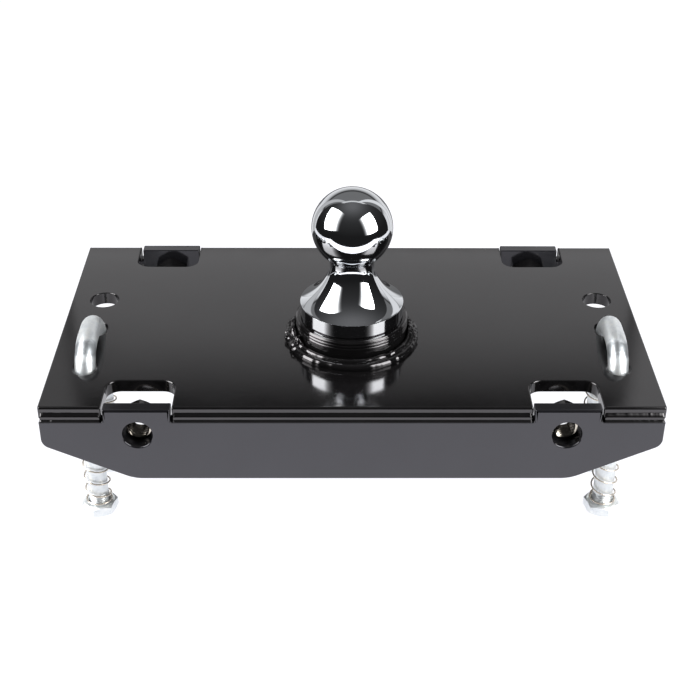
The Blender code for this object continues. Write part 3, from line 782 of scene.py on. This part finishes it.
# --------------------------------------------------------- chain loops, springs
for side, sx in (("left", -1.0), ("right", 1.0)):
    cx = sx * CHAIN_X
    body = "chain_loop_" + side
    lo, hi = span("chain_u_bolt_" + side)
    end_z = lo[2]
    bz = TOP - 10.0
    br = 22.0
    rod = 7.5
    thread_top = end_z + 17.0
    path, kind = [], []

    def leg(y, down):
        zs = [end_z, end_z + 0.5]
        z = end_z + 0.9
        while z < thread_top:
            zs.append(z)
            z += 0.25
        zs += [thread_top + 1.5, thread_top + 6.0, thread_top + 20.0, bz - 50.0, bz - 20.0, bz - 4.0]
        rows = [((cx, y, z), z) for z in zs]
        return rows if down else list(reversed(rows))

    for p, z in leg(CHAIN_Y - CHAIN_HALF, True):
        path.append(p)
        kind.append(z)
    for k in range(41):
        a = math.pi / 2 * k / 40
        path.append((cx, CHAIN_Y - CHAIN_HALF + br * (1 - math.cos(a)), bz + br * math.sin(a)))
        kind.append(None)
    for k in range(1, 4):
        path.append((cx, CHAIN_Y - CHAIN_HALF + br + (2 * (CHAIN_HALF - br)) * k / 4, bz + br))
        kind.append(None)
    for k in range(41):
        a = math.pi / 2 * (1 - k / 40)
        path.append((cx, CHAIN_Y + CHAIN_HALF - br * (1 - math.cos(a)), bz + br * math.sin(a)))
        kind.append(None)
    for p, z in leg(CHAIN_Y + CHAIN_HALF, False):
        path.append(p)
        kind.append(z)

    def rod_r(i, a, kind=kind):
        z = kind[i]
        if z is None or z > thread_top + 1.0:
            return rod
        if z < end_z + 0.2:
            return rod - 1.1
        u = (z / 2.0 + a / (2 * math.pi)) % 1.0
        w = abs(2 * u - 1.0)
        fade = min(1.0, max(0.0, (thread_top - z) / 1.5))
        return rod - (0.85 * min(1.0, max(0.0, w * 1.3 - 0.15))) * fade

    make("chain_u_bolt_%s_plated" % side, sweep(path, rod_r, 48), ZINC, body=body,
         replace=["chain_u_bolt_" + side], sharp=50.0)
    for end, ey in (("front", -CHAIN_HALF), ("rear", CHAIN_HALF)):
        label = end + "_" + side
        nlo, nhi = span("chain_nut_" + label)
        bm = hex_nut(24.0, nhi[2] - nlo[2], 7.75, per_side=14)
        move(bm, Matrix.Rotation(math.radians(30.0 + 14.0 * sx), 4, "Z"))
        move(bm, Matrix.Translation((cx, CHAIN_Y + ey, nlo[2])))
        make("chain_nut_%s_plated" % label, bm, ZINC_NUT, body=body, replace=["chain_nut_" + label],
             sharp=28.0)
        z0, z1 = nhi[2] + 0.3, UNDER - 0.3
        ob = make("chain_spring_%s_wire" % label,
                  coil(9.35, 0.65, z0, z1, 9.0, (cx, CHAIN_Y + ey), phase=2.6 + 0.4 * sx + (0.9 if ey > 0 else 0.0),
                       hand=-1.0),
                  ZINC_WIRE, replace=["chain_spring_" + label], sharp=60.0)
        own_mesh(ob)

# ----------------------------------------------------------------- lock pin set
pin_axis = Matrix.Translation((0.0, BALL_Y, PIN_Z)) @ Matrix.Rotation(math.radians(-90.0), 4, "Y")
plo, phi = span("lock_pin")
tip, end = -phi[0], -plo[0]
fl0, fl1 = 47.0, 51.0
prof = [(0.0, tip), (4.6, tip)]
for k in range(1, 7):
    a = math.pi / 2 * k / 6
    prof.append((4.6 + 1.75 * math.sin(a), tip + 1.75 - 1.75 * math.cos(a)))
prof += [(6.35, fl0 - 0.3), (6.65, fl0), (9.3, fl0), (9.7, fl0 + 0.4), (9.7, fl1 - 0.4), (9.3, fl1),
         (6.65, fl1), (6.35, fl1 + 0.3), (6.35, end - 1.2), (6.0, end - 0.5), (5.2, end), (0.0, end)]
pin = make("lock_pin_plated", move(turned(prof, 72), pin_axis), ZINC, body="lock_pin", replace=["lock_pin"],
           sharp=32.0)
eye = bpy.data.meshes.new("pin_eye_tool")
bm = bmesh.new()
low = [bm.verts.new(((plo[0] + 6.5 + 2.6 * math.cos(2 * math.pi * k / 48)) * MM,
                     (BALL_Y + 2.6 * math.sin(2 * math.pi * k / 48)) * MM, (PIN_Z - 12) * MM)) for k in range(48)]
high = [bm.verts.new((v.co.x, v.co.y, (PIN_Z + 12) * MM)) for v in low]
bm.faces.new(list(reversed(low)))
bm.faces.new(high)
for k in range(48):
    j = (k + 1) % 48
    bm.faces.new((low[k], low[j], high[j], high[k]))
bmesh.ops.recalc_face_normals(bm, faces=bm.faces)
bm.to_mesh(eye)
bm.free()
tool = bpy.data.objects.new("pin_eye_tool", eye)
bpy.context.scene.collection.objects.link(tool)
mod = pin.modifiers.new("eye", "BOOLEAN")
mod.operation = "DIFFERENCE"
mod.solver = "EXACT"
mod.object = tool
bpy.context.view_layer.update()
cut = bpy.data.meshes.new_from_object(pin.evaluated_get(bpy.context.evaluated_depsgraph_get()))
pin.modifiers.clear()
pin.data = cut
pin.data.set_sharp_from_angle(angle=math.radians(32.0))
bpy.data.objects.remove(tool, do_unlink=True)

hlo, hhi = span("lock_pin_housing")
bm = bmesh.new()
n = 96
rings = []
seat_x = R + 0.3
spec = [(14.0, "saddle"), (14.0, -hlo[0] - 0.8), (13.2, -hlo[0]), (10.6, -hlo[0]), (10.1, -hlo[0] - 0.5),
        (10.1, "saddle")]
for r, x in spec:
    ring = []
    for k in range(n):
        a = 2 * math.pi * k / n
        dy, dz = r * math.cos(a), r * math.sin(a)
        xx = -math.sqrt(seat_x ** 2 - dy ** 2) if x == "saddle" else -x
        ring.append(bm.verts.new((xx, BALL_Y + dy, PIN_Z + dz)))
    rings.append(ring)
for a, b in zip(rings, rings[1:] + rings[:1]):
    for k in range(n):
        j = (k + 1) % n
        bm.faces.new((a[k], a[j], b[j], b[k]))
make("lock_pin_housing_coated", bm, BLACK_TUBE, replace=["lock_pin_housing"], sharp=32.0)

clo, chi = span("lock_pin_cap")
x0 = -chi[0]
x1 = -clo[0]
prof = [(6.65, x0 + 0.3), (6.95, x0), (9.3, x0), (9.8, x0 + 0.5), (9.8, x0 + 5.7), (12.6, x0 + 5.7), (13.0, x0 + 6.1),
        (13.0, x1 - 1.0), (12.2, x1 - 0.2), (11.8, x1), (7.1, x1), (6.65, x1 - 0.4)]


def knurl(i, a, r, z):
    return (r - (0.18 * (0.5 + 0.5 * math.cos(48 * a)) if r > 12.55 else 0.0), z)


make("lock_pin_cap_plated", move(turned(prof, 192, shape=knurl), pin_axis), ZINC_NUT, replace=["lock_pin_cap"],
     sharp=32.0)
s0, s1 = fl1 + 0.3, x0 - 0.3
ob = make("lock_spring_wire", move(coil(8.6, 0.9, s0, s1, 4.0, (0.0, 0.0)), pin_axis), ZINC_WIRE,
          replace=["lock_spring"], sharp=60.0)
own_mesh(ob)

# ------------------------------------------------------------ floor and lights
floor_mesh = bpy.data.meshes.new("floor")
fz = CAD_BOX[0][2] - 0.0005
bm = bmesh.new()
fx, fy0, fy1 = 0.70, -0.42, 1.45
bm.faces.new([bm.verts.new(c) for c in ((-fx, fy0, fz), (fx, fy0, fz), (fx, fy1, fz), (-fx, fy1, fz))])
bm.to_mesh(floor_mesh)
bm.free()
floor = bpy.data.objects.new("floor", floor_mesh)
bpy.context.scene.collection.objects.link(floor)
fm = bpy.data.materials.new("pale_floor")
fm.use_nodes = True
fb = fm.node_tree.nodes["Principled BSDF"]
fb.inputs["Base Color"].default_value = (0.10, 0.10, 0.10, 1.0)
fb.inputs["Roughness"].default_value = 0.9
fb.inputs["Specular IOR Level"].default_value = 0.0
fb.inputs["Emission Color"].default_value = (0.99, 0.99, 1.04, 1.0)
fb.inputs["Emission Strength"].default_value = 1.05
fco = fm.node_tree.nodes.new("ShaderNodeTexCoord")
fse = fm.node_tree.nodes.new("ShaderNodeSeparateXYZ")
fmr = fm.node_tree.nodes.new("ShaderNodeMapRange")
fmr.interpolation_type = "SMOOTHSTEP"
for key, val in (("From Min", -0.22), ("From Max", -0.13), ("To Min", 2.1), ("To Max", 1.0)):
    fmr.inputs[key].default_value = val
fm.node_tree.links.new(fco.outputs["Object"], fse.inputs[0])
fm.node_tree.links.new(fse.outputs[1], fmr.inputs["Value"])
fm.node_tree.links.new(fmr.outputs["Result"], fb.inputs["Emission Strength"])
floor_mesh.materials.append(fm)


# tall white sweep close behind the object, bright at its foot and along its sides; seen only in reflections
bm = bmesh.new()
wall_y = 0.30
bm.faces.new([bm.verts.new(c) for c in ((-0.54, wall_y, fz), (0.70, wall_y, fz), (0.70, wall_y, 1.70),
                                        (-0.54, wall_y, 1.70))])
wall_mesh = bpy.data.meshes.new("back_sweep")
bm.to_mesh(wall_mesh)
bm.free()
wall = bpy.data.objects.new("back_sweep", wall_mesh)
bpy.context.scene.collection.objects.link(wall)
wm = bpy.data.materials.new("back_sweep_glow")
wm.use_nodes = True
nt = wm.node_tree
nt.nodes.clear()
wo = nt.nodes.new("ShaderNodeOutputMaterial")
we = nt.nodes.new("ShaderNodeEmission")
wc = nt.nodes.new("ShaderNodeTexCoord")
ws = nt.nodes.new("ShaderNodeSeparateXYZ")
nt.links.new(wc.outputs["Object"], ws.inputs[0])


def on_wall(op, a, b=None):
    n = nt.nodes.new("ShaderNodeMath")
    n.operation = op
    for i, v in enumerate((a, b)):
        if isinstance(v, (int, float)):
            n.inputs[i].default_value = v
        elif v is not None:
            nt.links.new(v, n.inputs[i])
    return n.outputs[0]


def on_wall_step(v, a, b, lo, hi):
    n = nt.nodes.new("ShaderNodeMapRange")
    n.interpolation_type = "SMOOTHSTEP"
    for key, val in (("From Min", a), ("From Max", b), ("To Min", lo), ("To Max", hi)):
        n.inputs[key].default_value = val
    nt.links.new(v, n.inputs["Value"])
    return n.outputs["Result"]


wx, wz = ws.outputs[0], ws.outputs[2]
curve = nt.nodes.new("ShaderNodeValToRGB")
stops = ((0.0, 0.15), (0.27, 0.15), (0.297, 0.96), (0.3675, 0.84), (0.425, 0.80), (0.485, 0.755),
         (0.545, 0.69), (0.605, 0.545), (0.665, 0.38), (0.715, 0.23), (0.755, 0.06), (0.83, 0.05), (0.92, 0.19))
while len(curve.color_ramp.elements) < len(stops):
    curve.color_ramp.elements.new(0.5)
for e, (pos, val) in zip(curve.color_ramp.elements, stops):
    e.position = pos
    e.color = (val, val, val, 1.0)
nt.links.new(on_wall("MULTIPLY", wz, 2.5), curve.inputs["Fac"])
fall = on_wall("MULTIPLY", curve.outputs["Color"], 1.2)
foot = on_wall("MULTIPLY", on_wall_step(on_wall("ABSOLUTE", wx), 0.145, 0.20, 0.0, 1.0),
               on_wall_step(wz, 0.105, 0.125, 1.0, 0.0))
fall = on_wall("MAXIMUM", fall, foot)
strip_l = on_wall("MULTIPLY", on_wall_step(wx, -0.30, -0.27, 0.66, 0.0), on_wall_step(wx, -0.45, -0.41, 0.0, 1.0))
strip_r = on_wall("MULTIPLY", on_wall_step(wx, 0.28, 0.31, 0.0, 1.05), on_wall_step(wx, 0.42, 0.46, 1.0, 0.0))
side = on_wall("MAXIMUM", strip_l, strip_r)
side = on_wall("MAXIMUM", side, on_wall_step(wz, 1.20, 1.28, 0.0, 0.9))
inner = on_wall_step(side, 0.02, 0.3, 1.0, 0.0)
nt.links.new(on_wall("ADD", on_wall("MULTIPLY", fall, inner), side), we.inputs["Strength"])
we.inputs["Color"].default_value = (0.985, 0.985, 1.0, 1.0)
nt.links.new(we.outputs[0], wo.inputs["Surface"])
wall_mesh.materials.append(wm)
wall.visible_camera = False
wall.visible_shadow = False


def panel(name, centre, width, height, radiance, origin=(0.0, BALL_Y * MM, BZ * MM), scale=1.0):
    w, h = Vector(width) * scale * 1.3, Vector(height) * scale
    c = Vector(origin) + Vector(centre) * scale + Vector(width) * scale * 0.15
    data = bpy.data.lights.new(name, "AREA")
    data.shape = "RECTANGLE"
    data.size = w.length
    data.size_y = h.length
    data.energy = radiance * math.pi * w.length * h.length
    ob = bpy.data.objects.new(name, data)
    bpy.context.scene.collection.objects.link(ob)
    z = (c - Vector(origin)).normalized()
    x = (w - z * w.dot(z)).normalized()
    y = z.cross(x)
    if y.dot(h) < 0:
        x, y = -x, -y
    m = Matrix((x, y, z)).transposed().to_4x4()
    m.translation = c
    ob.matrix_world = m
    # the cloth front is even to its outer edge and fades towards its inner one
    data.use_nodes = True
    lt = data.node_tree
    em = lt.nodes["Emission"]
    geo = lt.nodes.new("ShaderNodeNewGeometry")
    dot = lt.nodes.new("ShaderNodeVectorMath")
    dot.operation = "DOT_PRODUCT"
    lt.links.new(geo.outputs["Position"], dot.inputs[0])
    dot.inputs[1].default_value = w.normalized()
    ramp = lt.nodes.new("ShaderNodeMapRange")
    mid = c.dot(w.normalized())
    ramp.inputs["From Min"].default_value = mid + 0.02 * w.length
    ramp.inputs["From Max"].default_value = mid + 0.50 * w.length
    ramp.inputs["To Min"].default_value = 1.0
    ramp.inputs["To Max"].default_value = 0.0
    lt.links.new(dot.outputs["Value"], ramp.inputs["Value"])
    fade = lt.nodes.new("ShaderNodeMath")
    fade.operation = "POWER"
    fade.inputs[1].default_value = 4.0
    lt.links.new(ramp.outputs["Result"], fade.inputs[0])
    total = fade.outputs[0]
    # the cloth's hem dims over its last few centimetres
    for axis, size, hem in ((x, w.length, 0.07), (y, h.length, 0.06)):
        along = lt.nodes.new("ShaderNodeVectorMath")
        along.operation = "DOT_PRODUCT"
        lt.links.new(geo.outputs["Position"], along.inputs[0])
        along.inputs[1].default_value = axis
        off = lt.nodes.new("ShaderNodeMath")
        off.operation = "SUBTRACT"
        lt.links.new(along.outputs["Value"], off.inputs[0])
        off.inputs[1].default_value = c.dot(axis)
        gap = lt.nodes.new("ShaderNodeMath")
        gap.operation = "ABSOLUTE"
        lt.links.new(off.outputs[0], gap.inputs[0])
        edge = lt.nodes.new("ShaderNodeMapRange")
        edge.interpolation_type = "SMOOTHSTEP"
        for key, val in (("From Min", (0.5 - hem) * size), ("From Max", 0.5 * size), ("To Min", 1.0), ("To Max", 0.0)):
            edge.inputs[key].default_value = val
        lt.links.new(gap.outputs[0], edge.inputs["Value"])
        cube = lt.nodes.new("ShaderNodeMath")
        cube.operation = "POWER"
        cube.inputs[1].default_value = 3.0
        lt.links.new(edge.outputs["Result"], cube.inputs[0])
        mul = lt.nodes.new("ShaderNodeMath")
        mul.operation = "MULTIPLY"
        lt.links.new(total, mul.inputs[0])
        lt.links.new(cube.outputs[0], mul.inputs[1])
        total = mul.outputs[0]
    lt.links.new(total, em.inputs["Strength"])
    return ob


panel("softbox_left", (-0.84, -0.23, 0.49), (0.52, -0.59, 0.10), (0.26, 0.33, 0.92), 15.0)
panel("softbox_right", (0.77, -0.48, 0.43), (-0.50, -0.49, -0.06), (-0.08, 0.09, 0.95), 15.0)

world = bpy.data.worlds.new("studio")
bpy.context.scene.world = world
world.use_nodes = True
wt = world.node_tree
wt.nodes.clear()
out = wt.nodes.new("ShaderNodeOutputWorld")
co = wt.nodes.new("ShaderNodeTexCoord")
sep = wt.nodes.new("ShaderNodeSeparateXYZ")
wt.links.new(co.outputs["Generated"], sep.inputs[0])


def wmath(op, a, b=None, c=None):
    n = wt.nodes.new("ShaderNodeMath")
    n.operation = op
    for i, v in enumerate((a, b, c)):
        if v is None:
            continue
        if isinstance(v, (int, float)):
            n.inputs[i].default_value = v
        else:
            wt.links.new(v, n.inputs[i])
    return n.outputs[0]


def wstep(v, a, b, lo=0.0, hi=1.0):
    n = wt.nodes.new("ShaderNodeMapRange")
    n.interpolation_type = "SMOOTHSTEP"
    n.inputs["From Min"].default_value = a
    n.inputs["From Max"].default_value = b
    n.inputs["To Min"].default_value = lo
    n.inputs["To Max"].default_value = hi
    wt.links.new(v, n.inputs["Value"])
    return n.outputs["Result"]


X, Y, Z = sep.outputs
up_z = wmath("MAXIMUM", Z, 0.0)  # dim studio all round, a little lighter straight overhead
mix = wmath("ADD", wmath("MULTIPLY", up_z, 0.036), wmath("MULTIPLY", wmath("POWER", up_z, 8.0), 0.13))
mix = wmath("ADD", mix, 0.016)
dark = wt.nodes.new("ShaderNodeBackground")
comb = wt.nodes.new("ShaderNodeCombineColor")
for i, k in enumerate((1.0, 1.0, 1.03)):
    wt.links.new(wmath("MULTIPLY", mix, k), comb.inputs[i])
wt.links.new(comb.outputs[0], dark.inputs["Color"])
white = wt.nodes.new("ShaderNodeBackground")
white.inputs["Color"].default_value = (1.0, 1.0, 1.0, 1.0)
path = wt.nodes.new("ShaderNodeLightPath")
mixer = wt.nodes.new("ShaderNodeMixShader")
wt.links.new(path.outputs["Is Camera Ray"], mixer.inputs[0])
wt.links.new(dark.outputs[0], mixer.inputs[1])
wt.links.new(white.outputs[0], mixer.inputs[2])
wt.links.new(mixer.outputs[0], out.inputs["Surface"])

scene = bpy.context.scene
scene.view_settings.view_transform = "Standard"
scene.view_settings.look = "None"
scene.view_settings.exposure = 0.0

# --------------------------------------------------------------------- camera
cam = bpy.data.cameras.new("camera")
cam.sensor_fit = "HORIZONTAL"
cam.sensor_width = 36.0
cam.lens = 1351.7 / 700.0 * 36.0
cam.clip_start = 0.01
cam.clip_end = 50.0
cam_ob = bpy.data.objects.new("camera", cam)
scene.collection.objects.link(cam_ob)
pitch, yaw, roll = (math.radians(v) for v in (32.028, 0.608, 0.359))
fwd = Vector((math.sin(yaw) * math.cos(pitch), math.cos(yaw) * math.cos(pitch), -math.sin(pitch)))
right = Vector((math.cos(yaw), -math.sin(yaw), 0.0))
up = right.cross(fwd)
r2 = right * math.cos(roll) + up * math.sin(roll)
u2 = up * math.cos(roll) - right * math.sin(roll)
m = Matrix((r2, u2, -fwd)).transposed().to_4x4()
m.translation = Vector((-0.010295, -0.889154, 0.528789 + TOP * MM))
cam_ob.matrix_world = m
scene.camera = cam_ob
